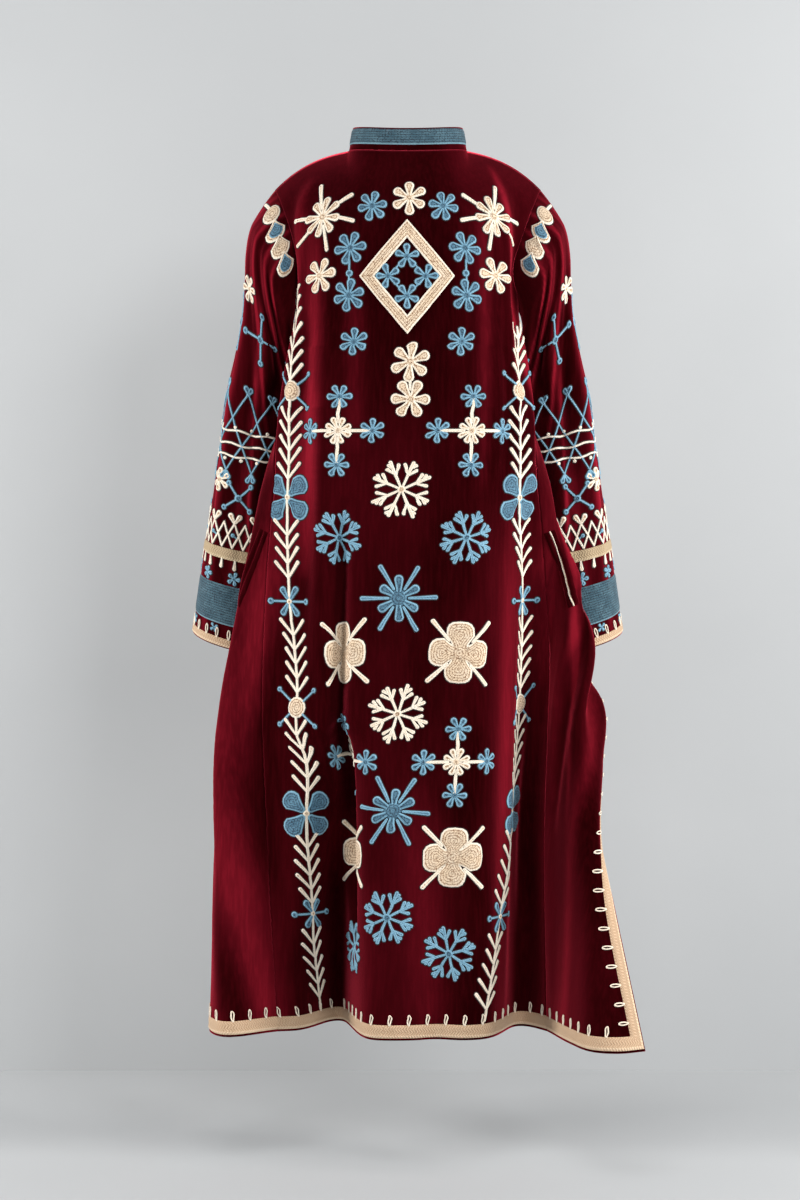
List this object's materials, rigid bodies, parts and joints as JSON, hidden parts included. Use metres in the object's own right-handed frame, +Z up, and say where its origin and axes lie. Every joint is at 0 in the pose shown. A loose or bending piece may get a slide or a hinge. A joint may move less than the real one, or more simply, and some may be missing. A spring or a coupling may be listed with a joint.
{
  "type": "embroidered velvet duster coat",
  "caption": "Long open velvet duster coat worn open, with straight sleeves, a low stand collar, folk chain-stitch flowers and cream braid round its edges.",
  "frame": {"origin": "middle of the neck opening at the level of the back neck seam, where the wearer's neck and shoulders hold the coat", "axes": "+Z up along the coat, +X to the wearer's left, -Y the way the wearer faces, so the back faces +Y"},
  "size_m": [0.6625, 0.4336, 1.3245],
  "materials": {
    "velvet": "burgundy velvet",
    "cream_braid": "cream braid",
    "straw_braid": "straw braid",
    "blue_stitching": "blue chain stitch"
  },
  "bodies": {
    "root": {"back": "velvet", "front_left": "velvet", "front_right": "velvet", "sleeve_left": "velvet", "sleeve_right": "velvet", "collar": "velvet", "pocket_welt_left": "velvet", "pocket_welt_right": "velvet", "collar_band": "blue_stitching", "cuff_band_left": "blue_stitching", "cuff_band_right": "blue_stitching", "hem_braid": "cream_braid", "front_braid_left": "cream_braid", "front_braid_right": "cream_braid", "cuff_braid_left": "cream_braid", "cuff_braid_right": "cream_braid", "sleeve_braid_left": "straw_braid", "sleeve_braid_right": "straw_braid"}
  },
  "joints": []
}
